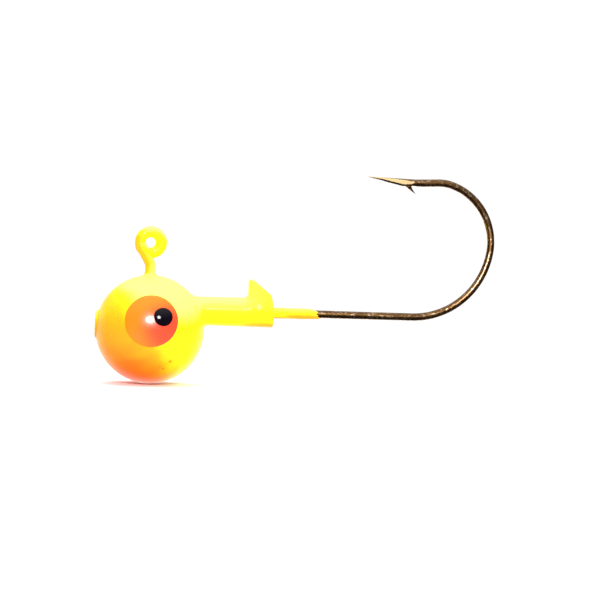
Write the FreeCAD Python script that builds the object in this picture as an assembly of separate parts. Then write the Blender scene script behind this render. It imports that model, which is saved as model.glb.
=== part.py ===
import FreeCAD, Part
import math
import os

# A quarter-ounce round jig head: a lead ball with a bait collar, cast round the 90 degree leg
# of a light-wire hook, then painted.
# Millimetres. The origin is the centre of the line-tie hole, +X runs back to the hook's bend,
# +Z runs up from the shank to the point, and the hook lies in the plane Y = 0.

# Hook wire, from the line-tie ring to the start of the bend
WIRE_R = 0.38
RING_R = 1.02                # centreline of the line-tie ring
RING_END_DEG = -70.0         # cut end of the ring, from +X towards +Z
RING_EXIT_DEG = 210.0        # where the wire leaves the ring for the leg
NECK_R = 1.2                 # turn from the ring into the leg
LEG_TURN_R = 1.2             # turn from the leg into the shank, inside the lead
SHANK_Z = -6.36
SHANK_END_X = 25.6

# Bend, barb and point
BEND_TURNS = [(7.8, 80.0), (5.85, 83.0), (3.9, 20.0)]      # radius and angle, from shank to point
BARB_RUN = 2.1               # straight wire between the bend and the kick
KICK = (6.0, -4.0)           # the barb's cut kicks the point outwards
POINT_RUN = 4.73             # straight wire from the kick to the tip
POINT_UNDER_DEG = 11.6       # slope of the facet ground under the point
POINT_SIDE_DEG = 4.3         # slope of each facet ground on its sides
POINT_HALF_WIDTH = 0.015     # half of the edge left at the very tip
BARB_ROOT = 3.95             # front and back of the spur, back from the tip
BARB_BACK = 4.55
BARB_TIP = 5.03
BARB_DEPTH = 1.47            # spur's tip below the outer side of the wire
BARB_HALF_WIDTH = 0.17
CHISEL_DEPTH = 0.08          # scar that the barb's cut leaves behind the spur
CHISEL_RUN = 1.1

# Lead casting, bare
BALL_R = 5.03
BALL_X = 0.15
BALL_Z = -8.25
COLLAR_ROOT_R = 1.24         # at the ball
COLLAR_END_R = 1.30
COLLAR_ROOT_X = 5.0
COLLAR_END_X = 11.62
KEEPER_FRONT_X = 9.6         # front face of the bait keeper
KEEPER_TIP_X = 9.78          # back end of its flat tip
KEEPER_RISE = 3.03           # tip above the shank's axis
KEEPER_BACK_RISE = 1.46      # back edge above the shank's axis
KEEPER_FOOT_R = 0.2          # hollow at the foot of its front face
KEEPER_FOOT_HALF_WIDTH = 1.2
KEEPER_TIP_HALF_WIDTH = 0.36
STUB_R = 1.12                # clipped casting gate on the nose
STUB_LENGTH = 1.0
STUB_RISE = 0.37             # above the ball's centre
STUB_PROUD = 0.10            # beyond the ball

# Paint
COAT = 0.12                  # powder coat on the lead
TIE_COAT = 0.11              # the same coat on the ring and leg
LINE_HOLE_R = 0.52           # what the paint leaves of the line-tie hole
LINE_HOLE_LENGTH = 0.5
LINE_HOLE_RIM = 0.3
SHANK_COAT_R = 0.5           # flood of paint on the front of the shank
SHANK_COAT_END_X = 16.42
SHANK_COAT_SLANT = 0.62      # how far its end leans along the shank, top to bottom
ORANGE_FILM = 0.03           # orange sprayed over the chin and nose
ORANGE_DIRECTION_DEG = 232.0
ORANGE_REACH_DEG = 55.0
IRIS_FILM = 0.05
IRIS_R = 2.43
IRIS_AIM = (-1.3, 10.9)      # degrees towards +X and towards +Z, from straight out of the side
PUPIL_R = 0.845
PUPIL_RISE = 0.28
PUPIL_AIM = (11.0, 14.4)

ACROSS = FreeCAD.Vector(0, 1, 0)
ALONG = FreeCAD.Vector(1, 0, 0)
BALL_CENTRE = FreeCAD.Vector(BALL_X, 0, BALL_Z)
CUT_REACH = 3.0              # how far a cutting block reaches past what it cuts


def heading(degrees):
    """Direction in the hook's plane, turned from +X towards +Z."""
    angle = math.radians(degrees)
    return FreeCAD.Vector(math.cos(angle), 0, math.sin(angle))


def aim(towards_x, towards_z):
    """Direction out of the left side of the ball, turned back and up by these degrees."""
    x_angle = math.radians(towards_x)
    z_angle = math.radians(towards_z)
    level = math.cos(z_angle)
    return FreeCAD.Vector(math.sin(x_angle) * level, -math.cos(x_angle) * level, math.sin(z_angle))


def run(start, direction, length):
    """A straight edge, and where it ends."""
    end = start + heading(direction) * length
    return Part.LineSegment(start, end).toShape(), end


def turn(start, direction, radius, degrees):
    """A tangent arc, turning left where degrees is positive, and where it ends."""
    side = direction + math.copysign(90, degrees)
    centre = start + heading(side) * radius
    middle = centre - heading(side + degrees / 2) * radius
    end = centre - heading(side + degrees) * radius
    return Part.Arc(start, middle, end).toShape(), end


def bar(edges, radius):
    """A round bar along a chain of edges."""
    first = edges[0]
    start = first.valueAt(first.FirstParameter)
    tangent = first.tangentAt(first.FirstParameter)
    section = Part.Face(Part.Wire(Part.makeCircle(radius, start, tangent)))
    return Part.Wire(edges).makePipe(section)


def ring_edges():
    """The line-tie ring, from its cut end round to the leg."""
    start = heading(RING_END_DEG) * RING_R
    edge, end = turn(start, RING_END_DEG + 90, RING_R, RING_EXIT_DEG - RING_END_DEG)
    return [edge], end, RING_EXIT_DEG + 90


def leg_edges(start, direction):
    """From the ring into the leg, which stands under the ring's centre, and on to the leg's turn."""
    neck_turn = 270 - direction
    sideways = math.cos(math.radians(direction))
    neck_width = NECK_R * (1 - math.cos(math.radians(neck_turn)))
    slope, end = run(start, direction, (-start.x - neck_width) / sideways)
    neck, end = turn(end, direction, NECK_R, neck_turn)
    leg, end = run(end, 270, end.z - SHANK_Z - LEG_TURN_R)
    return [slope, neck, leg], end


def shank_edges(start):
    """The turn under the leg and the straight shank."""
    corner, end = turn(start, 270, LEG_TURN_R, 90)
    shank, end = run(end, 0, SHANK_END_X - end.x)
    return [corner, shank], end


def bend_edges(start):
    """The hook's bend and the straight wire up to the tip, with the wire's heading there."""
    edges = []
    end = start
    direction = 0
    for radius, degrees in BEND_TURNS:
        edge, end = turn(end, direction, radius, degrees)
        edges.append(edge)
        direction += degrees
    barb_run, end = run(end, direction, BARB_RUN)
    kick, end = turn(end, direction, *KICK)
    direction += KICK[1]
    point_run, end = run(end, direction, POINT_RUN)
    return edges + [barb_run, kick, point_run], end, direction


def tip_frame():
    """The tip on the outer side of the wire, with the directions back along it and inwards."""
    edges, end, direction = bend_edges(FreeCAD.Vector(SHANK_END_X, 0, SHANK_Z))
    inwards = heading(direction + 90)
    return end - inwards * WIRE_R, heading(direction + 180), inwards


def tip_block(outline, half_width):
    """A block across the point, its outline given back from the tip and down from its outer side."""
    tip, back, inwards = tip_frame()
    corners = [tip + back * run_back + inwards * depth - ACROSS * half_width
               for run_back, depth in outline]
    face = Part.Face(Part.makePolygon(corners + corners[:1]))
    return face.extrude(ACROSS * 2 * half_width)


def side_cutter(side):
    """A block that grinds one side of the point."""
    tip, back, inwards = tip_frame()
    slope = math.tan(math.radians(POINT_SIDE_DEG))
    ahead = -1.0
    behind = 6.0
    outline = [(ahead, POINT_HALF_WIDTH + ahead * slope), (behind, POINT_HALF_WIDTH + behind * slope),
               (behind, CUT_REACH), (ahead, CUT_REACH)]
    corners = [tip + back * run_back + ACROSS * side * out - inwards for run_back, out in outline]
    face = Part.Face(Part.makePolygon(corners + corners[:1]))
    return face.extrude(inwards * CUT_REACH)


def under_cutter():
    """A block that grinds the underside of the point."""
    slope = math.tan(math.radians(POINT_UNDER_DEG))
    ahead = -1.0
    behind = 5.0
    outline = [(ahead, ahead * slope), (behind, behind * slope), (behind, CUT_REACH), (ahead, CUT_REACH)]
    return tip_block(outline, 1.0)


def barb():
    """The spur that a chisel raises from the underside of the wire."""
    underside = 2 * WIRE_R
    buried = underside - 0.2
    outline = [(BARB_ROOT - 0.2, buried), (BARB_ROOT, underside), (BARB_TIP, BARB_DEPTH),
               (BARB_BACK, underside), (BARB_BACK, buried)]
    return tip_block(outline, BARB_HALF_WIDTH)


def chisel_scar():
    """The shallow ramp left in the wire behind the spur."""
    underside = 2 * WIRE_R
    outline = [(BARB_BACK, underside - CHISEL_DEPTH), (BARB_BACK + CHISEL_RUN, underside),
               (BARB_BACK + CHISEL_RUN, underside + 0.1), (BARB_BACK, underside + 0.1)]
    return tip_block(outline, 1.0)


def jig_hook():
    """One length of wire: ring, leg, shank, bend, barb and point."""
    ring, end, direction = ring_edges()
    leg, end = leg_edges(end, direction)
    shank, end = shank_edges(end)
    bend, end, direction = bend_edges(end)
    excess, end = run(end, direction, 0.5)
    wire = bar(ring + leg + shank + bend + [excess], WIRE_R)
    for cutter in (under_cutter(), side_cutter(1), side_cutter(-1), chisel_scar()):
        wire = wire.cut(cutter)
    return wire.fuse(barb())


def ball(growth):
    return Part.makeSphere(BALL_R + growth, BALL_CENTRE)


def collar(growth):
    """The round collar that the bait slides over, a little wider at its end."""
    flare = (COLLAR_END_R - COLLAR_ROOT_R) / (COLLAR_END_X - COLLAR_ROOT_X)
    buried_x = COLLAR_ROOT_X - 3.0
    buried_r = COLLAR_ROOT_R - 3.0 * flare + growth
    base = FreeCAD.Vector(buried_x, 0, SHANK_Z)
    return Part.makeCone(buried_r, COLLAR_END_R + growth, COLLAR_END_X + growth - buried_x, base, ALONG)


def keeper_profile(growth):
    """Side view of the keeper: a hollow foot, a sharp front and a long slope down to the back."""
    foot_top = COLLAR_ROOT_R + KEEPER_FOOT_R
    foot_centre = FreeCAD.Vector(KEEPER_FRONT_X - KEEPER_FOOT_R, 0, SHANK_Z + foot_top)
    foot_start = foot_centre - heading(90) * KEEPER_FOOT_R
    foot_middle = foot_centre + heading(-45) * KEEPER_FOOT_R
    foot_end = foot_centre + heading(0) * KEEPER_FOOT_R
    buried_front = FreeCAD.Vector(foot_start.x, 0, SHANK_Z)
    front_top = FreeCAD.Vector(KEEPER_FRONT_X, 0, SHANK_Z + KEEPER_RISE)
    tip_back = FreeCAD.Vector(KEEPER_TIP_X, 0, SHANK_Z + KEEPER_RISE)
    back_top = FreeCAD.Vector(COLLAR_END_X, 0, SHANK_Z + KEEPER_BACK_RISE)
    buried_back = FreeCAD.Vector(COLLAR_END_X, 0, SHANK_Z)
    foot = Part.Arc(foot_start, foot_middle, foot_end).toShape()
    straights = Part.makePolygon([foot_end, front_top, tip_back, back_top, buried_back,
                                  buried_front, foot_start])
    face = Part.Face(Part.Wire([foot] + straights.Edges))
    if growth:
        face = face.makeOffset2D(growth)
    return face


def keeper(growth):
    """The bait keeper: its side view, tapering upwards to a narrow tip."""
    half_width = KEEPER_FOOT_HALF_WIDTH + growth
    profile = keeper_profile(growth)
    profile.translate(ACROSS * -half_width)
    slab = profile.extrude(ACROSS * 2 * half_width)
    bottom = SHANK_Z - 0.5
    top = SHANK_Z + KEEPER_RISE + growth
    tip_half_width = KEEPER_TIP_HALF_WIDTH + growth
    start_x = KEEPER_FRONT_X - 2.0
    corners = [FreeCAD.Vector(start_x, -half_width, bottom), FreeCAD.Vector(start_x, half_width, bottom),
               FreeCAD.Vector(start_x, half_width, SHANK_Z), FreeCAD.Vector(start_x, tip_half_width, top),
               FreeCAD.Vector(start_x, -tip_half_width, top), FreeCAD.Vector(start_x, -half_width, SHANK_Z)]
    taper = Part.Face(Part.makePolygon(corners + corners[:1])).extrude(ALONG * 6)
    return slab.common(taper)


def gate_stub(growth):
    """What is left of the casting gate, clipped almost flush with the nose."""
    face_x = BALL_X - BALL_R - STUB_PROUD - growth
    base = FreeCAD.Vector(face_x, 0, BALL_Z + STUB_RISE)
    return Part.makeCylinder(STUB_R + growth, STUB_LENGTH, base, ALONG)


def casting(growth):
    """The whole casting with no hook in it, its surface moved out by growth."""
    return ball(growth).fuse([collar(growth), keeper(growth), gate_stub(growth)])


def yellow_coat(hook):
    return casting(COAT).cut(casting(0)).cut(hook)


def line_tie_coat(hook):
    """Paint that floods the ring, closes its gap and narrows its hole, and runs down the leg."""
    coat_r = WIRE_R + TIE_COAT
    origin = FreeCAD.Vector(0, 0, 0)
    ring = Part.makeTorus(RING_R, coat_r, origin, ACROSS)
    ring_path, end, direction = ring_edges()
    leg_path, end = leg_edges(end, direction)
    leg = bar(leg_path, coat_r)
    rim_start = ACROSS * (-LINE_HOLE_LENGTH / 2)
    rim = Part.makeCylinder(LINE_HOLE_R + LINE_HOLE_RIM, LINE_HOLE_LENGTH, rim_start, ACROSS)
    hole = Part.makeCylinder(LINE_HOLE_R, CUT_REACH, ACROSS * (-CUT_REACH / 2), ACROSS)
    return ring.fuse([leg, rim]).cut(hole).cut(hook).cut(casting(COAT))


def shank_coat(hook):
    """Paint that ran along the shank behind the collar, with a slanting end."""
    start_x = COLLAR_END_X + COAT
    base = FreeCAD.Vector(start_x, 0, SHANK_Z)
    flood = Part.makeCylinder(SHANK_COAT_R, SHANK_COAT_END_X + 1.0 - start_x, base, ALONG)
    lean = ALONG * (SHANK_COAT_SLANT / 2) - heading(90) * SHANK_COAT_R
    middle = FreeCAD.Vector(SHANK_COAT_END_X, -1, SHANK_Z)
    corners = [middle - lean, middle + lean, middle + lean + ALONG * CUT_REACH,
               middle - lean + ALONG * CUT_REACH]
    beyond = Part.Face(Part.makePolygon(corners + corners[:1])).extrude(ACROSS * 2)
    return flood.cut(beyond).cut(hook)


def film_cap(direction, reach_degrees, under, film):
    """A round patch of paint on the ball, reaching this angle from its middle."""
    top = Part.makeSphere(BALL_R + under + film, BALL_CENTRE, direction, 90 - reach_degrees, 90, 360)
    return top.cut(casting(under))


def iris():
    reach = math.degrees(math.asin(IRIS_R / (BALL_R + COAT + IRIS_FILM)))
    return film_cap(aim(*IRIS_AIM), reach, COAT, IRIS_FILM)


def pupil():
    """A drop of black paint on the iris: the part of a small sphere outside the iris."""
    iris_top_r = BALL_R + COAT + IRIS_FILM
    sagitta = iris_top_r - math.sqrt(iris_top_r ** 2 - PUPIL_R ** 2)
    height = PUPIL_RISE + sagitta
    drop_r = (PUPIL_R ** 2 + height ** 2) / (2 * height)
    centre = BALL_CENTRE + aim(*PUPIL_AIM) * (iris_top_r + PUPIL_RISE - drop_r)
    return Part.makeSphere(drop_r, centre).cut(Part.makeSphere(iris_top_r, BALL_CENTRE))


def other_side(shape):
    return shape.mirror(FreeCAD.Vector(0, 0, 0), ACROSS)


def nodes():
    """Every piece of the jig head by name."""
    hook = jig_hook()
    left_iris = iris()
    left_pupil = pupil()
    return {
        "jig_hook": hook,
        "lead_head": casting(0).cut(hook),
        "yellow_coat": yellow_coat(hook),
        "line_tie_coat": line_tie_coat(hook),
        "shank_coat": shank_coat(hook),
        "orange_coat": film_cap(heading(ORANGE_DIRECTION_DEG), ORANGE_REACH_DEG, COAT, ORANGE_FILM),
        "iris_left": left_iris,
        "iris_right": other_side(left_iris),
        "pupil_left": left_pupil,
        "pupil_right": other_side(left_pupil),
    }


os.makedirs("parts", exist_ok=True)
for name, shape in nodes().items():
    shape.exportStep("parts/" + name + ".step")
    box = shape.BoundBox
    print(name, shape.isValid(), len(shape.Solids), "solids", round(shape.Volume, 4), "mm3",
          [round(v, 3) for v in (box.XMin, box.YMin, box.ZMin, box.XMax, box.YMax, box.ZMax)])
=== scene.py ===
import bpy
import math
import numpy as np
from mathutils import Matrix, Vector


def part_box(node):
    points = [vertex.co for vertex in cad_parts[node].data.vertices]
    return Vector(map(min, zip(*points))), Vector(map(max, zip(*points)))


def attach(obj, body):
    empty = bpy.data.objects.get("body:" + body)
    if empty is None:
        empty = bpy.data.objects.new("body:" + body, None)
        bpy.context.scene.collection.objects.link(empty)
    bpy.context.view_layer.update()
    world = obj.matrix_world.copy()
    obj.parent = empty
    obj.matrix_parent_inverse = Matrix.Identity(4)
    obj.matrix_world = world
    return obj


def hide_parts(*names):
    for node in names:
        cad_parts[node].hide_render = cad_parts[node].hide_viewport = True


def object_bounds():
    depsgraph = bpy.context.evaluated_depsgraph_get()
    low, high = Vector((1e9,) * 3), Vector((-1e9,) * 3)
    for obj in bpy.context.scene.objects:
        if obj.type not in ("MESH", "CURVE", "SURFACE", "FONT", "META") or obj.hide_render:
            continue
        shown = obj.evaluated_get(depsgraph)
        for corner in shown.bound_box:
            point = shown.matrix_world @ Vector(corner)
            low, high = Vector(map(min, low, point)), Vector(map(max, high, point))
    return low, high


# A round jig head with its visible surfaces made as fine meshes round the CAD frame.
# Sizes below are in millimetres and become metres where a mesh is made.

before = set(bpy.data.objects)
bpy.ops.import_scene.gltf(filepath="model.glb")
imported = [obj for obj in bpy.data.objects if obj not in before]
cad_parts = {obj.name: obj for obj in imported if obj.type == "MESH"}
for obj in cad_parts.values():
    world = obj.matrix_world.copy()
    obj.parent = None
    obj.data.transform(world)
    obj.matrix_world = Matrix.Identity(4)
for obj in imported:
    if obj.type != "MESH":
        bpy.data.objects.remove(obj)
cad_low, cad_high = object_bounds()
CENTRE = (cad_low + cad_high) / 2

MM = 0.001


def box_mm(node):
    low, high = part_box(node)
    return np.array(low) / MM, np.array(high) / MM


# Places and sizes that the CAD nodes give
coat_low, coat_high = box_mm("yellow_coat")
tie_high = box_mm("line_tie_coat")[1]
flood_low, flood_high = box_mm("shank_coat")
hook_high = box_mm("jig_hook")[1]
WIRE_R = hook_high[1] - 0.004
BALL_R = coat_high[1]
BALL = np.array([0.15, 0.0, coat_low[2] + BALL_R])
SHANK_Z = (flood_low[2] + flood_high[2]) / 2
COLLAR_END_X = coat_high[0]
STUB_FACE_X = coat_low[0] + 0.05
TIE_R = tie_high[1]
FLOOD_R = flood_high[1]
FLOOD_END_X = flood_high[0]

# Hook wire, as it is bent
RING_R = tie_high[2] - TIE_R
RING_END_DEG = -70.0
RING_EXIT_DEG = 210.0
NECK_R = 1.2
LEG_TURN_R = 1.2
SHANK_END_X = 25.6
BEND_TURNS = [(7.8, 80.0), (5.85, 83.0), (3.9, 20.0)]
BARB_RUN = 2.1
KICK = (6.0, -4.0)
POINT_RUN = 4.73
WIRE_STEPS = (3.0, 0.4, 6.2, 0.045)    # degrees, mm, then the finely cut length and its step
PAINT_STEPS = (6.0, 0.5, 0.0, 1.0)

# Point and barb, measured back from the tip and down from the wire's outer side
POINT_UNDER_SLOPE = math.tan(math.radians(11.6))
POINT_SIDE_SLOPE = math.tan(math.radians(4.3))
POINT_HALF_WIDTH = 0.015
POINT_BEVEL = 0.16
BARB_ROOT = 3.95
BARB_BACK = 4.55
BARB_TIP = 5.03
BARB_DEPTH = 1.47
BARB_HALF_WIDTH = 0.2
BARB_SUNK = 0.22             # how far the spur's foot is set into the wire
CHISEL_DEPTH = 0.08
CHISEL_RUN = 1.1

# Collar, keeper and gate stub, over the paint
COLLAR_R = 1.36
COLLAR_X = 5.0
COLLAR_FLARE = 0.009
KEEPER_FRONT_X = 9.48
KEEPER_TIP_X = 9.86
KEEPER_RISE = 3.15
KEEPER_BACK_RISE = 1.58
KEEPER_FOOT_HALF_WIDTH = 1.44
KEEPER_LEAN = 0.03           # of its front, across for each millimetre up
KEEPER_WIDEST = 0.17         # rise at which its sides bulge most
KEEPER_ROUNDED = 0.89        # how far above that they stay rounded
KEEPER_STRAIGHT = 1.06       # and the rise from which they narrow evenly
KEEPER_MIDDLE_X = 10.68
STUB_R = 1.24
STUB_RISE = 0.37
STUB_CROWN = 0.03
COLLAR_LEAN = 0.07           # its end, back for each millimetre down
COLLAR_FILLET = 0.45
KEEPER_FILLET = 0.55
STUB_FILLET = 0.3

# Paint
SPRAY_FROM = np.array([-0.6, 0.6, -0.8])
SPRAY_EDGE = (0.05, 1.6)
SPRAY_FALL = 1.5
MIST_FROM = np.array([-1.5, 0.15, -0.8])
MIST_EDGE = (0.05, 0.95)
MIST = 0.3
HOLE_CENTRE = (-0.11, -0.02)
HOLE_R = 0.52
FLOOD_END_BACK = 0.34        # of its ragged end, behind the CAD coat's
FLOOD_END_SLANT = 0.22
# Painted light: a pale cream painted on the ball where it faces up, a painted highlight as if lit from
# above
PAINTED_LIGHT_FROM = np.array([0.3, 0.47, 0.87])
PAINTED_LIGHT_EDGE = (0.60, 0.90)
PAINTED_LIGHT_CROWN = (0.58, 0.74)
IRIS_AIM = (-1.3, 10.9)
IRIS_R = 2.43
IRIS_FILM = 0.045
PUPIL_AIM = (11.0, 14.4)
PUPIL_R = 0.88
PUPIL_RISE = 0.242
SPECKS = [((24.2, -33.5), 0.17), ((18.0, -43.1), 0.15),
          ((12.5, -40.5), 0.11), ((-19.0, -38.0), 0.11)]

# How far each stretch of paint reaches: edges in slope are shares of a normal, runs are millimetres
RIPPLE = 0.04
BELLY = 0.17                 # thin orange under the ball, behind the main spray
BELLY_EDGE = (0.40, 0.62)
BELLY_FRONT = (-0.24, -0.06)
BELLY_FADE = (0.45, 0.75)
COLLAR_SPRAY = 0.5
COLLAR_SPRAY_EDGE = (0.35, 0.95)
COLLAR_SPRAY_RUN = (6.5, 10.5)
SHANK_SPRAY = 0.6
SHANK_SPRAY_EDGE = (-0.2, 0.6)
SHANK_SPRAY_RUN = (COLLAR_END_X - 0.5, COLLAR_END_X + 2.6)
TIE_SPRAY = 0.38             # on the front of the ring and leg
TIE_SPRAY_EDGE = (-0.35, 0.2)
TIE_SPRAY_FRONT = (-0.25, 0.25)
TIE_SPRAY_TOP = (0.4, 1.2)
TIE_SPRAY_FOOT = (-3.1, -2.1)
OFF_BALL = (4.2, 6.0)        # where the ball's colours give way to the collar's
BALL_TOP = BALL[2] + BALL_R
# Painted light: a painted highlight along the collar's top, and a painted reflection down the right of the
# leg
PAINTED_LIGHT_TAIL_EDGE = (-0.1, 0.9)
PAINTED_LIGHT_TAIL_RUN = (8.8, 11.2)
PAINTED_LIGHT_LEG = 0.9
PAINTED_LIGHT_LEG_EDGE = (-0.5, 0.1)
PAINTED_LIGHT_LEG_RUN = (1.3, 2.8)

# Stage, light and view, in metres and degrees
FLOOR_R = 0.2
FLOOR_SIDES = 96
FLOOR_GAP = 0.00002
KEY_FROM = (-2, 21)
KEY_DISTANCE = 0.16
KEY_SIZE = 0.056
KEY_POWER = 0.20
OVERHEAD_PLACE = (0, 0.02, 0.20)
OVERHEAD_SIZE = 0.20
OVERHEAD_POWER = 0.60
LIGHT_SQUASH = 0.72          # a light's height against its width
AMBIENT = 0.85
BACKDROP = 1.05
REFLECTED_FRONT = 0.035
REFLECTED_ABOVE = 0.62
REFLECTED_BEHIND = 2.1
VIEW_AZIMUTH = -9.0
VIEW_DISTANCE = 0.130
VIEW_ROLL = 1.8
VIEW_WIDTH = 0.057           # width of what the camera sees at the ball's distance
VIEW_AIM = (-0.19, -2.22, -1.94)   # what the camera looks at, from the middle of the jig, in mm


# ---------------------------------------------------------------- meshes

def new_object(name, vertices, faces, attributes=None):
    """A smooth mesh object from millimetre vertices, riding on the jig's one body."""
    mesh = bpy.data.meshes.new(name)
    mesh.from_pydata((np.asarray(vertices) * MM).tolist(), [], [list(map(int, f)) for f in faces])
    mesh.validate()
    for label, values in (attributes or {}).items():
        values = np.asarray(values, np.float32)
        kind = "FLOAT_VECTOR" if values.ndim == 2 else "FLOAT"
        field = "vector" if values.ndim == 2 else "value"
        layer = mesh.attributes.new(label, kind, "POINT")
        layer.data.foreach_set(field, values.ravel())
    mesh.shade_smooth()
    obj = bpy.data.objects.new(name, mesh)
    bpy.context.scene.collection.objects.link(obj)
    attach(obj, "root")
    return obj


def smooth_step(value, low, high):
    t = np.clip((value - low) / (high - low), 0, 1)
    return t * t * (3 - 2 * t)


def smooth_min(a, b, blend):
    """The smaller of two distances, with a fillet where they are within blend of each other."""
    near = np.maximum(blend - np.abs(a - b), 0) / blend
    return np.minimum(a, b) - near * near * blend / 4


def smooth_max(a, b, blend):
    return -smooth_min(-a, -b, blend)


def gradient(field, points, step=0.002):
    """Slope of a field at points, by central differences."""
    slopes = np.empty_like(points)
    for axis in range(3):
        shift = np.zeros(3)
        shift[axis] = step
        slopes[:, axis] = (field(*(points + shift).T) - field(*(points - shift).T)) / (2 * step)
    return slopes


def onto_surface(field, points, rounds):
    """Points moved onto the field's zero surface."""
    for _ in range(rounds):
        slope = gradient(field, points)
        size = np.maximum((slope ** 2).sum(1), 0.05)
        points = points - slope * (field(*points.T) / size)[:, None]
    return points


def relaxed(field, points, faces, rounds):
    """Evens out the mesh along the surface, keeping it on the field's zero level."""
    quads = np.asarray(faces)
    starts = quads.ravel()
    ends = np.roll(quads, -1, axis=1).ravel()
    count = np.bincount(starts, minlength=len(points)).astype(float)[:, None]
    for _ in range(rounds):
        total = np.zeros_like(points)
        for axis in range(3):
            total[:, axis] = np.bincount(starts, points[ends, axis], len(points))
        points = onto_surface(field, points + 0.5 * (total / count - points), 1)
    return onto_surface(field, points, 2)


def skin(field, xs, ys, zs):
    """A closed quad mesh of a field's zero level over a grid, one vertex to each cell that it crosses."""
    grid = np.meshgrid(xs, ys, zs, indexing="ij")
    value = field(*grid)
    inside = value < 0
    corners = [(i, j, k) for i in (0, 1) for j in (0, 1) for k in (0, 1)]
    shape = tuple(n - 1 for n in value.shape)

    def at(array, corner):
        return array[tuple(slice(c, c + n) for c, n in zip(corner, shape))]

    filled = sum(at(inside, c).astype(np.int8) for c in corners)
    cells = np.argwhere((filled > 0) & (filled < 8))
    index = np.full(shape, -1, np.int64)
    index[tuple(cells.T)] = np.arange(len(cells))
    axes = (xs, ys, zs)
    total = np.zeros((len(cells), 3))
    hits = np.zeros(len(cells))
    for a in corners:
        for axis in range(3):
            if a[axis]:
                continue
            b = tuple(1 if i == axis else c for i, c in enumerate(a))
            va = value[tuple((cells + a).T)]
            vb = value[tuple((cells + b).T)]
            crossed = (va < 0) != (vb < 0)
            t = np.where(crossed, va / np.where(crossed, va - vb, 1), 0)
            pa = np.stack([axes[i][cells[:, i] + a[i]] for i in range(3)], 1)
            pb = np.stack([axes[i][cells[:, i] + b[i]] for i in range(3)], 1)
            total += np.where(crossed[:, None], pa + (pb - pa) * t[:, None], 0)
            hits += crossed
    points = total / hits[:, None]
    faces = []
    for axis in range(3):
        other = [i for i in range(3) if i != axis]
        here = np.moveaxis(inside, axis, 0)
        change = np.argwhere(here[1:] != here[:-1])
        keep = (change[:, 1] > 0) & (change[:, 2] > 0)
        change = change[keep]
        leaving = here[:-1][tuple(change.T)]
        quad = []
        for da, db in ((-1, -1), (0, -1), (0, 0), (-1, 0)):
            cell = np.empty_like(change)
            cell[:, axis] = change[:, 0]
            cell[:, other[0]] = change[:, 1] + da
            cell[:, other[1]] = change[:, 2] + db
            quad.append(index[tuple(cell.T)])
        quad = np.stack(quad, 1)
        flip = leaving if axis == 1 else ~leaving
        quad[flip] = quad[flip][:, ::-1]
        faces.append(quad)
    faces = np.concatenate(faces)
    points = relaxed(field, points, faces, 6)
    return points, faces


def steps(*stretches):
    """Grid lines over stretches of (start, end, spacing) that follow on from each other."""
    lines = [np.linspace(a, b, max(2, round((b - a) / gap) + 1))[:-1] for a, b, gap in stretches]
    return np.concatenate(lines + [[stretches[-1][1]]])


# ---------------------------------------------------------------- the wire

def heading(degrees):
    angle = math.radians(degrees)
    return np.array([math.cos(angle), math.sin(angle)])


def wire_route():
    """Pieces of the wire's centreline, each (start, heading, radius or None, length or turn)."""
    ring_start = heading(RING_END_DEG) * RING_R
    ring_end = heading(RING_EXIT_DEG) * RING_R
    neck_turn = 270 - (RING_EXIT_DEG + 90)
    neck_width = NECK_R * (1 - math.cos(math.radians(neck_turn)))
    slope_run = (-ring_end[0] - neck_width) / math.cos(math.radians(RING_EXIT_DEG + 90))
    neck_drop = NECK_R * math.sin(math.radians(-neck_turn))
    leg_top = ring_end[1] + slope_run * math.sin(math.radians(RING_EXIT_DEG + 90)) - neck_drop
    plan = [(RING_R, RING_EXIT_DEG - RING_END_DEG), (None, slope_run), (NECK_R, neck_turn),
            (None, leg_top - SHANK_Z - LEG_TURN_R), (LEG_TURN_R, 90.0),
            (None, SHANK_END_X - LEG_TURN_R)]
    plan += BEND_TURNS + [(None, BARB_RUN), KICK, (None, POINT_RUN)]
    return ring_start, RING_END_DEG + 90, plan


def wire_stations(turn_step, run_step, fine_from_tip, fine_step):
    """Centres, headings and distances from the tip of sections along the wire."""
    place, direction, plan = wire_route()
    lengths = [amount if radius is None else radius * math.radians(abs(amount))
               for radius, amount in plan]
    total = sum(lengths)
    centres, headings, travelled = [place], [direction], [0.0]
    done = 0.0
    for (radius, amount), length in zip(plan, lengths):
        left = total - done
        gap = run_step if radius is None else radius * math.radians(turn_step)
        coarse = np.linspace(0, length, max(2, math.ceil(length / gap) + 1))[1:]
        if left - length < fine_from_tip:
            fine_length = min(length, fine_from_tip - (left - length))
            start = length - fine_length
            fine = np.linspace(start, length, max(2, math.ceil(fine_length / fine_step) + 1))[1:]
            coarse = coarse[coarse < start]
            coarse = np.concatenate([coarse, [start] if start > 0 else [], fine])
        for distance in coarse:
            if radius is None:
                centres.append(place + heading(direction) * distance)
                headings.append(direction)
            else:
                turned = math.copysign(math.degrees(distance / radius), amount)
                side = direction + math.copysign(90, amount)
                hub = place + heading(side) * radius
                centres.append(hub - heading(side + turned) * radius)
                headings.append(direction + turned)
            travelled.append(done + distance)
        place = centres[-1]
        direction = headings[-1]
        done += length
    return np.array(centres), np.array(headings), total - np.array(travelled)


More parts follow.
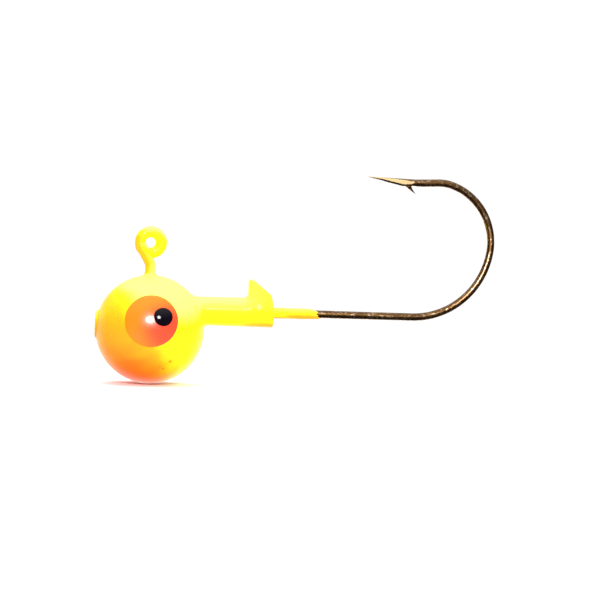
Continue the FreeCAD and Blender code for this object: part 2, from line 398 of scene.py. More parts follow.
def section_reach(from_tip, angles):
    """A section's middle below the wire's outer side, its reach at each angle and what grinding took."""
    depth_limit = 2 * WIRE_R
    if from_tip < BARB_BACK:
        depth_limit = min(depth_limit, from_tip * POINT_UNDER_SLOPE)
    elif from_tip < BARB_BACK + CHISEL_RUN:
        depth_limit -= CHISEL_DEPTH * (1 - (from_tip - BARB_BACK) / CHISEL_RUN)
    side_limit = POINT_HALF_WIDTH + from_tip * POINT_SIDE_SLOPE
    depth_limit = max(depth_limit, 0.012)
    middle = min(depth_limit / 2, WIRE_R)
    inward, across = np.cos(angles), np.sin(angles)
    offset = middle - WIRE_R
    along = offset * inward
    to_circle = -along + np.sqrt(np.maximum(along ** 2 - offset ** 2 + WIRE_R ** 2, 0))
    to_under = np.where(inward > 1e-6, (depth_limit - middle) / np.maximum(inward, 1e-6), np.inf)
    to_side = np.where(np.abs(across) > 1e-6, side_limit / np.maximum(np.abs(across), 1e-6), np.inf)
    bevel = min(POINT_BEVEL, 0.5 * depth_limit) if from_tip < BARB_BACK else 0.0
    slanted = inward + np.abs(across)
    bevel_reach = depth_limit - middle + side_limit - bevel
    to_bevel = np.where(slanted > 1e-6, bevel_reach / np.maximum(slanted, 1e-6), np.inf)
    if bevel == 0:
        to_bevel = np.inf
    reach = np.minimum(np.minimum(to_circle, to_bevel), np.minimum(to_under, to_side))
    flank = (to_side <= np.minimum(to_bevel, to_under) + 1e-6) & (to_side < to_circle)
    return middle, reach, np.where(flank, to_circle - reach, 0.0)


def hook_wire():
    """The whole wire, closed and ground to a point, with its spur set into it."""
    segments = 72
    centres, headings, from_tip = wire_stations(*WIRE_STEPS)
    angles = np.linspace(0, 2 * math.pi, segments, endpoint=False)
    vertices, unrolled, ground = [], [], []
    for centre, direction, back in zip(centres, headings, from_tip):
        middle, reach, taken = section_reach(back, angles)
        inward = heading(direction + 90)
        depth = middle - WIRE_R + reach * np.cos(angles)
        across = reach * np.sin(angles)
        ring = np.empty((segments, 3))
        ring[:, 0] = centre[0] + inward[0] * depth
        ring[:, 1] = across
        ring[:, 2] = centre[1] + inward[1] * depth
        vertices.append(ring)
        unrolled.append(np.stack([depth, across, np.full(segments, back)], 1))
        ground.append(taken * (back < BARB_BACK))
    vertices = np.concatenate(vertices)
    count = len(centres)
    faces = []
    for i in range(count - 1):
        row = np.arange(segments) + i * segments
        nxt = np.roll(np.arange(segments), -1) + i * segments
        faces += np.stack([row, nxt, nxt + segments, row + segments], 1).tolist()
    faces.append(list(range(segments))[::-1])
    faces.append([segments * (count - 1) + i for i in range(segments)])
    unrolled = np.concatenate(unrolled)
    ground = np.concatenate(ground)
    spur, spur_faces, spur_unrolled = barb_spur(centres[-1], headings[-1])
    faces += (np.array(spur_faces) + len(vertices)).tolist()
    vertices = np.concatenate([vertices, spur])
    unrolled = np.concatenate([unrolled, spur_unrolled])
    ground = np.concatenate([ground, np.zeros(len(spur))])
    return new_object("hook_wire", vertices, faces, attributes={"wire": unrolled, "ground": ground})


def barb_spur(end, end_heading):
    """A sliver raised from the wire's underside, thinning to its tip. Both its ends are open."""
    levels, around = 26, 32
    inward = heading(end_heading + 90)
    back = -heading(end_heading)
    tip = end - inward * WIRE_R
    start_depth = 2 * WIRE_R - BARB_SUNK
    vertices, unrolled, faces = [], [], []
    for level in range(levels):
        t = level / (levels - 1)
        depth = start_depth + (BARB_DEPTH - start_depth) * t
        rise = max(0.0, (depth - 2 * WIRE_R) / (BARB_DEPTH - 2 * WIRE_R))
        front = BARB_ROOT + (BARB_TIP - BARB_ROOT) * rise - 0.04 * math.sin(math.pi * rise)
        rear = BARB_BACK + (BARB_TIP - BARB_BACK) * rise ** 1.3
        half = max((rear - front) / 2, 0.006)
        width = max(BARB_HALF_WIDTH * (1 - rise) ** 0.7, 0.008)
        for j in range(around):
            a = 2 * math.pi * j / around
            run_back = (front + rear) / 2 + half * math.copysign(abs(math.cos(a)) ** 0.8, math.cos(a))
            across = width * math.copysign(abs(math.sin(a)) ** 0.8, math.sin(a))
            place = tip + back * run_back + inward * depth
            vertices.append([place[0], across, place[1]])
            unrolled.append([depth - WIRE_R, across, run_back])
    for level in range(levels - 1):
        for j in range(around):
            a = level * around + j
            b = level * around + (j + 1) % around
            faces.append([a, b, b + around, a + around])
    return np.array(vertices), faces, np.array(unrolled)


# ---------------------------------------------------------------- painted surfaces

def facing(normals, towards):
    """How far each normal faces a direction, the same on both sides of the middle plane."""
    across = np.hypot(normals[:, 1], 0.15)
    return normals[:, 0] * towards[0] + across * towards[1] + normals[:, 2] * towards[2]


def spray_amount(points, normals):
    """How much orange each point caught: from below on the ball, with a mist in front of it."""
    x, z = points[:, 0], points[:, 2]
    back, down = normals[:, 0], -normals[:, 2]
    ripple = RIPPLE * np.sin(x * 2.3 + points[:, 1] * 1.9) * np.cos(z * 2.7)
    caught = smooth_step(facing(normals, SPRAY_FROM) + ripple, *SPRAY_EDGE) ** SPRAY_FALL
    mist = MIST * smooth_step(facing(normals, MIST_FROM) + ripple, *MIST_EDGE)
    caught = caught + mist * (1 - caught)
    belly = smooth_step(down + ripple, *BELLY_EDGE) * smooth_step(-back + ripple, *BELLY_FRONT)
    caught = caught + belly * (1 - smooth_step(-back, *BELLY_FADE)) * BELLY
    collar = smooth_step(down, *COLLAR_SPRAY_EDGE) * smooth_step(x, *COLLAR_SPRAY_RUN) * COLLAR_SPRAY
    shank = smooth_step(down, *SHANK_SPRAY_EDGE) * smooth_step(x, *SHANK_SPRAY_RUN) * SHANK_SPRAY
    caught = caught + (np.maximum(collar, shank) - caught) * smooth_step(x, *OFF_BALL)
    front = TIE_SPRAY * smooth_step(-back, *TIE_SPRAY_EDGE) * smooth_step(-x, *TIE_SPRAY_FRONT)
    front = front * (1 - smooth_step(z, *TIE_SPRAY_TOP)) * smooth_step(z, *TIE_SPRAY_FOOT)
    return caught + (front - caught) * smooth_step(z, BALL_TOP - 0.3, BALL_TOP + 1.0)


def painted_light_amount(points, normals):
    """How much painted light each point gets: a pale painted highlight on the tops of the ball and collar,
    and a painted reflection down the right side of the leg.
    """
    # painted highlight on the ball where it faces up, as if lit from above
    ball = smooth_step(facing(normals, PAINTED_LIGHT_FROM), *PAINTED_LIGHT_EDGE)
    ball = np.maximum(ball, smooth_step(normals[:, 2], *PAINTED_LIGHT_CROWN))
    x, z = points[:, 0], points[:, 2]
    # painted highlight along the top of the collar, weaker towards its end
    tail = smooth_step(normals[:, 2], *PAINTED_LIGHT_TAIL_EDGE) * (1 - 0.5 * smooth_step(x, *PAINTED_LIGHT_TAIL_RUN))
    painted_light = ball + (tail - ball) * smooth_step(x, *OFF_BALL)
    # painted reflection: a pale band down the right side of the leg
    leg = smooth_step(normals[:, 0], *PAINTED_LIGHT_LEG_EDGE) * smooth_step(-z, *PAINTED_LIGHT_LEG_RUN)
    on_leg = smooth_step(z, BALL_TOP - 0.1, BALL_TOP + 0.5)
    return np.maximum(painted_light, leg * on_leg * PAINTED_LIGHT_LEG)


def ball_field(x, y, z):
    return np.sqrt((x - BALL[0]) ** 2 + y ** 2 + (z - BALL[2]) ** 2) - BALL_R


def collar_end(x, z):
    """Distance past the collar's end, which leans out at the bottom."""
    return x - COLLAR_END_X - 0.03 + COLLAR_LEAN * (z - SHANK_Z)


def collar_field(x, y, z):
    side = np.hypot(y, z - SHANK_Z) - (COLLAR_R + COLLAR_FLARE * (x - COLLAR_X))
    return smooth_max(smooth_max(side, collar_end(x, z), 0.10), BALL[0] - x, 0.1)


def keeper_field(x, y, z):
    """A spur with a sharp front, a long back slope and bulging sides that draw in towards its tip."""
    rise = z - SHANK_Z
    fall = KEEPER_RISE - KEEPER_BACK_RISE
    length = COLLAR_END_X - KEEPER_TIP_X
    slope = ((x - KEEPER_TIP_X) * fall + (rise - KEEPER_RISE) * length) / math.hypot(fall, length)
    front = KEEPER_FRONT_X + KEEPER_LEAN * (rise - KEEPER_RISE) - x
    upper = np.clip(rise - KEEPER_WIDEST, 0, KEEPER_ROUNDED)
    lower = np.minimum(rise - KEEPER_WIDEST, 0)
    straight = np.maximum(rise - KEEPER_STRAIGHT, 0)
    half_width = KEEPER_FOOT_HALF_WIDTH - 0.18 * upper ** 2 - 0.45 * lower ** 2 - 0.32 * straight
    half_width = half_width - 0.13 * (x - KEEPER_MIDDLE_X) ** 2
    side = (np.abs(y) - half_width) * 0.95
    shape = smooth_max(slope, rise - KEEPER_RISE, 0.12)
    shape = smooth_max(shape, front, 0.14)
    shape = smooth_max(shape, collar_end(x, z), 0.14)
    shape = smooth_max(shape, side, 0.22)
    return smooth_max(shape, -rise - 0.9, 0.1)


def stub_field(x, y, z):
    side = np.hypot(y, z - BALL[2] - STUB_RISE) - STUB_R
    crown = STUB_CROWN * (y ** 2 + (z - BALL[2] - STUB_RISE) ** 2) / STUB_R ** 2
    return smooth_max(smooth_max(side, STUB_FACE_X + crown - x, 0.15), x - BALL[0], 0.1)


def head_field(x, y, z):
    body = smooth_min(ball_field(x, y, z), collar_field(x, y, z), COLLAR_FILLET)
    body = smooth_min(body, keeper_field(x, y, z), KEEPER_FILLET - 0.35 * smooth_step(x, 9.5, 10.2))
    return smooth_min(body, stub_field(x, y, z), STUB_FILLET)


def chain_distance(x, y, z, chain):
    """Distance to a chain of straight lengths in the plane Y = 0."""
    nearest = np.full(np.shape(x), np.inf)
    for a, b in zip(chain[:-1], chain[1:]):
        run = b - a
        t = np.clip(((x - a[0]) * run[0] + (z - a[1]) * run[1]) / (run @ run), 0, 1)
        gap = (x - a[0] - run[0] * t) ** 2 + (z - a[1] - run[1] * t) ** 2
        nearest = np.minimum(nearest, gap)
    return np.sqrt(nearest + y ** 2)


def tie_chains():
    """The ring's centreline, and the leg's down to the shank."""
    centres, headings, _ = wire_stations(*PAINT_STEPS)
    ring = centres[headings <= RING_EXIT_DEG + 90.001]
    ring_count = int(np.argmax(headings >= RING_EXIT_DEG + 89.999)) + 1
    leg_end = int(np.argmax(centres[:, 1] < SHANK_Z + LEG_TURN_R + 0.01))
    return centres[:ring_count], centres[ring_count - 1:leg_end + 1]


RING_CHAIN, LEG_CHAIN = tie_chains()


def tie_field(x, y, z):
    """Paint on the ring and leg, with a skirt that runs out onto the ball and dips under its surface."""
    ring = chain_distance(x, y, z, RING_CHAIN) - TIE_R - 0.02
    off_hole = np.hypot(x - HOLE_CENTRE[0], z - HOLE_CENTRE[1]) - HOLE_R
    inner = np.hypot(np.hypot(x, z) - 0.8, y) - 0.40
    ring = smooth_min(ring, smooth_max(inner, -off_hole, 0.15), 0.2)
    leg = chain_distance(x, y, z, LEG_CHAIN) - TIE_R
    wire = smooth_min(ring, leg, 0.22)
    ball = ball_field(x, y, z)
    spread = np.hypot(x, y)
    dip = 1.6 * np.maximum(spread - 0.8, 0) ** 2
    return smooth_max(smooth_min(wire, ball + dip, 0.45), -(ball + 0.3), 0.02)


def flood_field(x, y, z):
    """Paint that ran onto the shank: a meniscus at the collar and a ragged, thinning end."""
    across = np.hypot(y, z - SHANK_Z)
    turn = np.arctan2(z - SHANK_Z, y)
    ragged = 0.10 * np.sin(3 * turn + 0.6) + 0.06 * np.sin(7 * turn + 2.0) + 0.04 * np.sin(13 * turn)
    end_x = FLOOD_END_X - FLOOD_END_BACK - FLOOD_END_SLANT * np.sin(turn) + ragged
    swell = 0.012 * np.sin(x * 2.6 + 1.0) - 0.02 * smooth_step(x, 13.0, 16.0)
    radius = FLOOD_R + 0.02 + swell - 0.17 * smooth_step(x, end_x - 0.75, end_x + 0.12)
    sleeve = smooth_max(across - radius, x - end_x - 0.3, 0.05)
    face = collar_end(x, z)
    dip = 1.5 * np.maximum(across - 0.62, 0) ** 2
    return smooth_max(smooth_min(sleeve, face + dip, 0.16), -(face + 0.2), 0.02)


def painted(name, field, xs, ys, zs):
    points, faces = skin(field, xs, ys, zs)
    slopes = gradient(field, points)
    normals = slopes / np.linalg.norm(slopes, axis=1)[:, None]
    return new_object(name, points, faces, attributes={"spray": spray_amount(points, normals),
                                                         "painted_light": painted_light_amount(points, normals)})


def head_coat():
    low_z = BALL[2] - BALL_R - 0.1
    xs = steps((BALL[0] - BALL_R - 0.3, 4.6, 0.13), (4.6, COLLAR_END_X + 0.2, 0.065))
    ys = steps((-BALL_R - 0.1, -1.7, 0.13), (-1.7, 1.7, 0.068), (1.7, BALL_R + 0.1, 0.13))
    zs = steps((low_z, SHANK_Z - 1.6, 0.13), (SHANK_Z - 1.6, SHANK_Z + KEEPER_RISE + 0.3, 0.065))
    return painted("head_paint", head_field, xs, ys, zs)


def tie_coat():
    gap = 0.045
    xs = steps((-1.75, 1.75, gap))
    ys = steps((-1.4, 1.4, gap))
    zs = steps((BALL[2] + BALL_R - 0.75, RING_R + TIE_R + 0.1, gap))
    return painted("line_tie_paint", tie_field, xs, ys, zs)


def flood_coat():
    gap = 0.045
    xs = steps((COLLAR_END_X - 0.3, FLOOD_END_X + 0.6, gap))
    ys = steps((-1.5, 1.5, gap))
    zs = steps((SHANK_Z - 1.5, SHANK_Z + 1.5, gap))
    return painted("shank_paint", flood_field, xs, ys, zs)


def aim(towards_x, towards_z, side):
    x_angle, z_angle = math.radians(towards_x), math.radians(towards_z)
    level = math.cos(z_angle)
    return np.array([math.sin(x_angle) * level, side * math.cos(x_angle) * level, math.sin(z_angle)])


def round_patch(axis, ball_r, reach, profile, wobble, segments=144):
    """A closed patch on the ball. Its profile is (share of the reach, height) outwards and back."""
    up = np.array([0.0, 0.0, 1.0])
    right = np.cross(up, axis)
    right /= np.linalg.norm(right)
    top = np.cross(axis, right)
    angles = np.linspace(0, 2 * math.pi, segments, endpoint=False)
    outline = 1 + sum(size * np.sin(times * angles + phase) for size, times, phase in wobble)
    limit = math.asin(reach / ball_r)
    rings, shares = [], []
    for share, height in profile:
        polar = limit * share * (outline if share > 0.02 else 1)
        polar = np.broadcast_to(polar, angles.shape)
        radius = ball_r + height
        direction = (np.outer(np.cos(polar), axis)
                     + (np.sin(polar) * np.cos(angles))[:, None] * right
                     + (np.sin(polar) * np.sin(angles))[:, None] * top)
        rings.append(BALL + radius * direction)
        shares.append(np.full(segments, share))
    vertices = np.concatenate(rings + [[BALL + (ball_r + profile[0][1]) * axis],
                                       [BALL + (ball_r + profile[-1][1]) * axis]])
    count = len(profile)
    faces = []
    for i in range(count - 1):
        for j in range(segments):
            k = (j + 1) % segments
            here, outer = i * segments, (i + 1) * segments
            faces.append([here + j, outer + j, outer + k, here + k])
    first, last = count * segments, count * segments + 1
    for j in range(segments):
        k = (j + 1) % segments
        faces.append([first, j, k])
        faces.append([last, (count - 1) * segments + k, (count - 1) * segments + j])
    return vertices, faces


def iris(side, name):
    """A disc of thick paint with a rounded rim."""
    film = IRIS_FILM
    flat = [(s, film * (0.86 + 0.14 * s ** 4)) for s in np.linspace(0.03, 0.94, 30)]
    rim = [(0.94 + 0.06 * math.sin(a), film * math.cos(a) ** 0.6 if a < 1.5 else -0.01)
           for a in np.linspace(0.15, math.pi / 2, 9)]
    under = [(0.985, -0.04), (0.6, -0.05), (0.03, -0.05)]
    axis = aim(*IRIS_AIM, side)
    wobble = [(0.006, 2, 0.4), (0.004, 3, 1.9), (0.002, 7, 0.3)]
    vertices, faces = round_patch(axis, BALL_R, IRIS_R, flat + rim + under, wobble)
    warm_centre = BALL + BALL_R * aim(PUPIL_AIM[0] + 5, PUPIL_AIM[1] - 12, side)
    glow = np.linalg.norm(vertices - warm_centre, axis=1)
    blush = 1 - smooth_step(glow, 0.2, 4.1)
    faces = faces if side < 0 else [f[::-1] for f in faces]
    return new_object(name, vertices, faces, attributes={"blush": blush})


def pupil(side, name):
    """A raised drop of black paint, not quite round."""
    base = BALL_R + IRIS_FILM * 0.86
    dome = [(math.sin(a), PUPIL_RISE * math.cos(a) ** 0.85)
            for a in np.linspace(0.04, math.pi / 2 - 0.04, 26)]
    under = [(1.0, -0.01), (0.95, -0.03), (0.04, -0.04)]
    wobble = [(0.016, 2, 1.0), (0.010, 3, 0.2), (0.006, 5, 1.0)]
    vertices, faces = round_patch(aim(*PUPIL_AIM, side), base, PUPIL_R, dome + under, wobble)
    faces = faces if side < 0 else [f[::-1] for f in faces]
    return new_object(name, vertices, faces)


# ---------------------------------------------------------------- materials

class Graph:
    """A material's node tree, built a node at a time."""

    def __init__(self, name):
        self.material = bpy.data.materials.new(name)
        self.material.use_nodes = True
        self.tree = self.material.node_tree
        self.tree.nodes.clear()

    def add(self, kind, inputs=None, **settings):
        node = self.tree.nodes.new(kind)
        for key, value in settings.items():
            setattr(node, key, value)
        for key, value in (inputs or {}).items():
            socket = node.inputs[key]
            if isinstance(value, bpy.types.NodeSocket):
                self.tree.links.new(value, socket)
            else:
                socket.default_value = value
        return node

    @classmethod
    def of(cls, tree):
        """A graph on a tree that exists."""
        graph = cls.__new__(cls)
        graph.tree = tree
        tree.nodes.clear()
        return graph

    def blend(self, factor, a, b):
        """Number between a and b."""
        node = self.add("ShaderNodeMix", data_type="FLOAT")
        for socket, value in ((node.inputs[0], factor), (node.inputs[2], a), (node.inputs[3], b)):
            if isinstance(value, bpy.types.NodeSocket):
                self.tree.links.new(value, socket)
            else:
                socket.default_value = value
        return node.outputs[0]

    def math(self, operation, a, b=0.0, clamp=False):
        return self.add("ShaderNodeMath", {0: a, 1: b}, operation=operation, use_clamp=clamp).outputs[0]

    def mix(self, factor, a, b):
        """Colour between a and b."""
        node = self.add("ShaderNodeMix", data_type="RGBA")
        for socket, value in ((node.inputs[0], factor), (node.inputs[6], a), (node.inputs[7], b)):
            if isinstance(value, bpy.types.NodeSocket):
                self.tree.links.new(value, socket)
            else:
                socket.default_value = value
        return node.outputs[2]

    def ramp(self, value, low, high, start=0.0, end=1.0):
        node = self.add("ShaderNodeMapRange", {"Value": value, "From Min": low, "From Max": high,
                                               "To Min": start, "To Max": end},
                        interpolation_type="SMOOTHSTEP")
        return node.outputs[0]

    def line(self, value, low, high):
        """Share of the way from low to high."""
        node = self.add("ShaderNodeMapRange", {"Value": value, "From Min": low, "From Max": high})
        return node.outputs[0]

    def noise(self, vector, scale, detail=3.0, roughness=0.5):
        return self.add("ShaderNodeTexNoise", {"Vector": vector, "Scale": scale, "Detail": detail,
                                               "Roughness": roughness}).outputs["Fac"]

    def bump(self, height, strength, distance):
        return self.add("ShaderNodeBump", {"Height": height, "Strength": strength,
                                           "Distance": distance}).outputs[0]

    def attribute(self, name, output="Fac"):
        return self.add("ShaderNodeAttribute", attribute_name=name).outputs[output]

    def place(self):
        return self.add("ShaderNodeTexCoord").outputs["Object"]

    def finish(self, shader):
        output = self.add("ShaderNodeOutputMaterial")
        self.tree.links.new(shader, output.inputs["Surface"])
        return self.material


YELLOW = (0.90, 0.92, 0.001, 1)
GREENISH = (0.80, 0.92, 0.001, 1)
# painted highlight colour: the pale cream painted where light falls from above
PAINTED_LIGHT = (0.92, 0.95, 0.13, 1)
AMBER = (1.0, 0.54, 0.003, 1)
TANGERINE = (1.0, 0.31, 0.003, 1)
ORANGE = (1.0, 0.135, 0.004, 1)
SPECK = (0.16, 0.13, 0.006, 1)


def head_paint():
    """Fluorescent chartreuse powder paint with orange sprayed over it, a pale painted highlight on the tops
    and a faint painted glow.
    """
    g = Graph("fluorescent_paint")
    place = g.place()
    mottle = g.noise(place, 420.0, 3.0)
    cloud = g.noise(place, 160.0, 2.0)
    speckle = g.noise(place, 5200.0, 2.0)
    yellow = g.mix(g.ramp(mottle, 0.35, 0.75), YELLOW, GREENISH)
    # painted light: paler towards the top and down the leg's right side, a painted highlight and reflection
    yellow = g.mix(g.attribute("painted_light"), yellow, PAINTED_LIGHT)
    spray = g.attribute("spray")
    drift = g.math("MULTIPLY", g.math("SUBTRACT", cloud, 0.5), 0.4)
    grain = g.math("MULTIPLY", g.math("SUBTRACT", speckle, 0.5), 0.30)
    edge = g.math("MULTIPLY", g.math("MULTIPLY", spray, g.math("SUBTRACT", 1.0, spray)), 4.0)
    amount = g.math("ADD", spray, g.math("MULTIPLY", g.math("ADD", drift, grain), edge), clamp=True)
    warm = g.mix(g.line(amount, 0.0, 0.16), yellow, AMBER)
    warmer = g.mix(g.line(amount, 0.14, 0.45), warm, TANGERINE)
    colour = g.mix(g.line(amount, 0.45, 0.95), warmer, ORANGE)
    for towards, size in SPECKS:
        spot = BALL + BALL_R * aim(*towards, -1)
        away = g.add("ShaderNodeVectorMath", {0: place, 1: tuple(spot * MM)}, operation="DISTANCE")
        rough = g.math("MULTIPLY", g.noise(place, 9000.0, 2.0), 0.00010)
        reach = g.math("ADD", away.outputs["Value"], rough)
        mark = g.ramp(reach, (size - 0.04) * MM, (size + 0.10) * MM, 0.75, 0.0)
        colour = g.mix(mark, colour, SPECK)
    peel = g.noise(place, 2200.0, 1.0, 0.4)
    wave = g.noise(place, 650.0, 1.0)
    height = g.math("ADD", g.math("MULTIPLY", peel, 0.25), wave)
    normal = g.bump(height, 0.16, 0.00005)
    shader = g.add("ShaderNodeBsdfPrincipled", {
        "Base Color": colour, "Roughness": g.ramp(mottle, 0.2, 0.8, 0.40, 0.50), "IOR": 1.45,
        "Specular IOR Level": 0.12, "Coat Weight": 0.25, "Coat Roughness": 0.14,
        "Sheen Weight": 0.45, "Sheen Roughness": 0.11,
        # the emission adds a faint glow in the paint's own colour: painted light, standing in for its
        # fluorescence
        "Emission Color": colour, "Emission Strength": 0.08, "Normal": normal})
    return g.finish(shader.outputs[0])


def iris_paint():
    g = Graph("iris_paint")
    place = g.place()
    cloud = g.noise(place, 700.0, 2.0)
    blush = g.math("ADD", g.attribute("blush"), g.math("MULTIPLY", g.math("SUBTRACT", cloud, 0.5), 0.18),
                   clamp=True)
    colour = g.mix(g.ramp(blush, 0.05, 0.95), (0.86, 0.160, 0.002, 1), (0.90, 0.048, 0.016, 1))
    normal = g.bump(g.noise(place, 900.0, 1.0), 0.15, 0.00004)
    shader = g.add("ShaderNodeBsdfPrincipled", {
        "Base Color": colour, "Roughness": g.ramp(cloud, 0.3, 0.7, 0.2, 0.28), "IOR": 1.5,
        # the emission adds a faint glow in the iris's own colour: painted light
        "Coat Weight": 0.45, "Coat Roughness": 0.05, "Emission Color": colour,
        "Emission Strength": 0.08, "Normal": normal})
    return g.finish(shader.outputs[0])


def pupil_paint():
    g = Graph("pupil_paint")
    place = g.place()
    cloud = g.noise(place, 1500.0, 2.0)
    colour = g.mix(cloud, (0.001, 0.0006, 0.0016, 1), (0.005, 0.003, 0.007, 1))
    normal = g.bump(cloud, 0.12, 0.00004)
    shader = g.add("ShaderNodeBsdfPrincipled", {
        "Base Color": colour, "Roughness": g.ramp(cloud, 0.3, 0.7, 0.06, 0.12), "IOR": 1.45,
        "Specular IOR Level": 0.35, "Coat Weight": 0.1, "Coat Roughness": 0.04, "Normal": normal})
    return g.finish(shader.outputs[0])


def bronze():
    """Steel wire under brown lacquer: drawn streaks along it, bright where the point is ground."""
    g = Graph("bronzed_wire")
    wire = g.attribute("wire", "Vector")
    streaks = g.add("ShaderNodeMapping", {"Vector": wire, "Scale": (14.0, 14.0, 0.55)}).outputs[0]
    blotches = g.add("ShaderNodeMapping", {"Vector": wire, "Scale": (2.2, 2.2, 0.8)}).outputs[0]
    streak = g.noise(streaks, 1.0, 4.0, 0.6)
    blotch = g.noise(blotches, 1.0, 3.0)
    grit = g.noise(wire, 30.0, 3.0)
    ground = g.ramp(g.attribute("ground"), 0.002, 0.010)
    lacquer = g.mix(g.ramp(blotch, 0.3, 0.7), (0.19, 0.078, 0.014, 1), (0.28, 0.135, 0.036, 1))
    lacquer = g.mix(g.ramp(streak, 0.48, 0.72, 0.0, 0.45), lacquer, (0.62, 0.40, 0.21, 1))
    flecks = g.add("ShaderNodeMapping", {"Vector": wire, "Scale": (7.0, 7.0, 3.4)}).outputs[0]
    worn = g.ramp(g.noise(flecks, 1.0, 2.0), 0.55, 0.66, 0.0, 0.9)
    lacquer = g.mix(worn, lacquer, (0.82, 0.58, 0.38, 1))
    pits = g.ramp(grit, 0.25, 0.36, 0.55, 0.0)
    lacquer = g.mix(pits, lacquer, (0.05, 0.025, 0.012, 1))
    honed = g.mix(g.ramp(grit, 0.35, 0.65), (0.40, 0.27, 0.12, 1), (0.58, 0.43, 0.23, 1))
    colour = g.mix(ground, lacquer, honed)
    grinding = g.noise(g.add("ShaderNodeMapping", {"Vector": wire, "Scale": (6.0, 6.0, 55.0)}).outputs[0],
                       1.0, 3.0)
    relief = g.math("ADD", g.math("MULTIPLY", streak, g.math("SUBTRACT", 1.0, ground)),
                    g.math("MULTIPLY", grinding, ground))
    normal = g.bump(relief, 0.14, 0.00002)
    roughness = g.math("ADD", g.ramp(blotch, 0.3, 0.7, 0.31, 0.38), g.math("MULTIPLY", ground, 0.06))
    shader = g.add("ShaderNodeBsdfPrincipled", {
        "Base Color": colour, "Metallic": 1.0, "Roughness": roughness, "Coat Weight": 0.8,
        "Coat Roughness": 0.15, "Coat IOR": 1.5, "Normal": normal})
    return g.finish(shader.outputs[0])


def lead():
    g = Graph("cast_lead")
    place = g.place()
    cloud = g.noise(place, 500.0, 4.0)
    colour = g.mix(cloud, (0.16, 0.165, 0.175, 1), (0.36, 0.37, 0.39, 1))
    normal = g.bump(g.noise(place, 1800.0, 3.0), 0.4, 0.00005)
    shader = g.add("ShaderNodeBsdfPrincipled", {
        "Base Color": colour, "Metallic": 0.9, "Roughness": g.ramp(cloud, 0.3, 0.7, 0.45, 0.65),
        "Normal": normal})
    return g.finish(shader.outputs[0])


def floor_white():
    """Pale floor that fades out into the white surround."""
    g = Graph("pale_floor")
    place = g.place()
    distance = g.add("ShaderNodeVectorMath", {0: place}, operation="LENGTH").outputs["Value"]
    fade = g.ramp(distance, 0.05, 0.16)
    grain = g.noise(place, 900.0, 3.0)
    colour = g.mix(grain, (0.90, 0.90, 0.90, 1), (0.94, 0.94, 0.94, 1))
    matt = g.add("ShaderNodeBsdfPrincipled", {"Base Color": colour, "Roughness": 0.7})
    clear = g.add("ShaderNodeBsdfTransparent")
    mixed = g.add("ShaderNodeMixShader", {0: fade, 1: matt.outputs[0], 2: clear.outputs[0]})
    return g.finish(mixed.outputs[0])


def give(obj, material):
    obj.data.materials.clear()
    obj.data.materials.append(material)


# ---------------------------------------------------------------- the jig head

paint = head_paint()
PIECES = [
    (head_coat(), paint, "yellow_paint", ["yellow_coat", "orange_coat"]),
    (tie_coat(), paint, "yellow_paint", ["line_tie_coat"]),
    (flood_coat(), paint, "yellow_paint", ["shank_coat"]),
    (hook_wire(), bronze(), "bronzed_wire", ["jig_hook"]),
]
iris_material = iris_paint()
pupil_material = pupil_paint()
for side, name in ((-1, "left"), (1, "right")):
    PIECES.append((iris(side, "eye_iris_" + name), iris_material, "iris_paint", ["iris_" + name]))
    PIECES.append((pupil(side, "eye_pupil_" + name), pupil_material, "pupil_paint", ["pupil_" + name]))
for piece, material, slot, nodes in PIECES:
    give(piece, material)
    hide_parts(*nodes)
give(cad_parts["lead_head"], lead())


# ---------------------------------------------------------------- stage, light and camera

def area_light(name, place, target, size, power, glossy=True):
    data = bpy.data.lights.new(name, "AREA")
    data.shape = "ELLIPSE"
    data.size = size
    data.size_y = size * LIGHT_SQUASH
    data.energy = power
    light = bpy.data.objects.new(name, data)
    light.visible_glossy = glossy
    light.location = place
    light.rotation_euler = (Vector(target) - Vector(place)).to_track_quat("-Z", "Y").to_euler()
    bpy.context.scene.collection.objects.link(light)


def direction(azimuth, elevation):
    """Unit vector towards a place round the object: azimuth 0 is out along -Y."""
    a, e = math.radians(azimuth), math.radians(elevation)
    return Vector((math.sin(a) * math.cos(e), -math.cos(a) * math.cos(e), math.sin(e)))


def floor_plane():
    """A wide disc under the ball."""
    angles = np.linspace(0, 2 * math.pi, FLOOR_SIDES, endpoint=False)
    rim = np.stack([np.cos(angles), np.sin(angles), np.zeros(FLOOR_SIDES)], 1) * FLOOR_R
    mesh = bpy.data.meshes.new("floor")
    mesh.from_pydata(rim.tolist(), [], [list(range(FLOOR_SIDES))])
    floor = bpy.data.objects.new("floor", mesh)
    floor.location = (CENTRE.x, CENTRE.y, cad_low.z - FLOOR_GAP)
    bpy.context.scene.collection.objects.link(floor)
    give(floor, floor_white())
    floor.visible_glossy = False


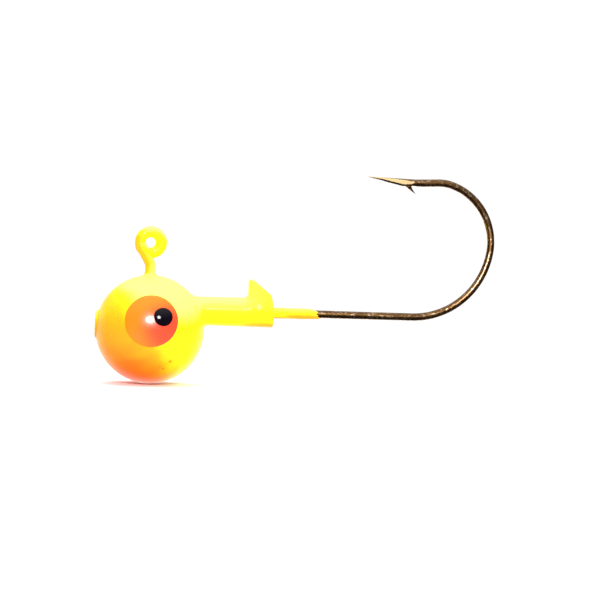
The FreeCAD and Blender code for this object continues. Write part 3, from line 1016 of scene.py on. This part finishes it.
def surround():
    """White to the camera. In reflections, dark in front, soft above and pale low behind."""
    world = bpy.data.worlds.new("surround")
    bpy.context.scene.world = world
    world.use_nodes = True
    world.cycles.sampling_method = "NONE"
    g = Graph.of(world.node_tree)
    towards = g.add("ShaderNodeSeparateXYZ", {0: g.add("ShaderNodeTexCoord").outputs["Generated"]})
    up, away = towards.outputs["Z"], towards.outputs["Y"]
    above = g.ramp(up, 0.25, 0.95, 0.0, REFLECTED_ABOVE)
    low_behind = g.math("MULTIPLY", g.ramp(away, 0.35, 0.8), g.ramp(up, 0.05, 0.4, REFLECTED_BEHIND, 0.25))
    reflected = g.math("ADD", g.math("ADD", above, low_behind), REFLECTED_FRONT)
    path = g.add("ShaderNodeLightPath")
    strength = g.blend(path.outputs["Is Glossy Ray"], AMBIENT, reflected)
    strength = g.blend(path.outputs["Is Camera Ray"], strength, BACKDROP)
    background = g.add("ShaderNodeBackground", {"Color": (1, 1, 1, 1), "Strength": strength})
    g.add("ShaderNodeOutputWorld", {"Surface": background.outputs[0]})


def camera():
    data = bpy.data.cameras.new("camera")
    data.sensor_width = 36.0
    data.lens = data.sensor_width * VIEW_DISTANCE / VIEW_WIDTH
    data.clip_start = 0.005
    cam = bpy.data.objects.new("camera", data)
    bpy.context.scene.collection.objects.link(cam)
    target = CENTRE + Vector(VIEW_AIM) * MM
    back = direction(VIEW_AZIMUTH, 0)
    cam.location = target + back * VIEW_DISTANCE
    cam.rotation_euler = (-back).to_track_quat("-Z", "Y").to_euler()
    cam.rotation_euler.rotate_axis("Z", math.radians(VIEW_ROLL))
    bpy.context.scene.camera = cam


ball_place = Vector(BALL) * MM
floor_plane()
surround()
area_light("key", ball_place + direction(*KEY_FROM) * KEY_DISTANCE, ball_place, KEY_SIZE, KEY_POWER)
area_light("overhead", CENTRE + Vector(OVERHEAD_PLACE), CENTRE, OVERHEAD_SIZE, OVERHEAD_POWER, glossy=False)
camera()
bpy.context.scene.view_settings.view_transform = "Standard"
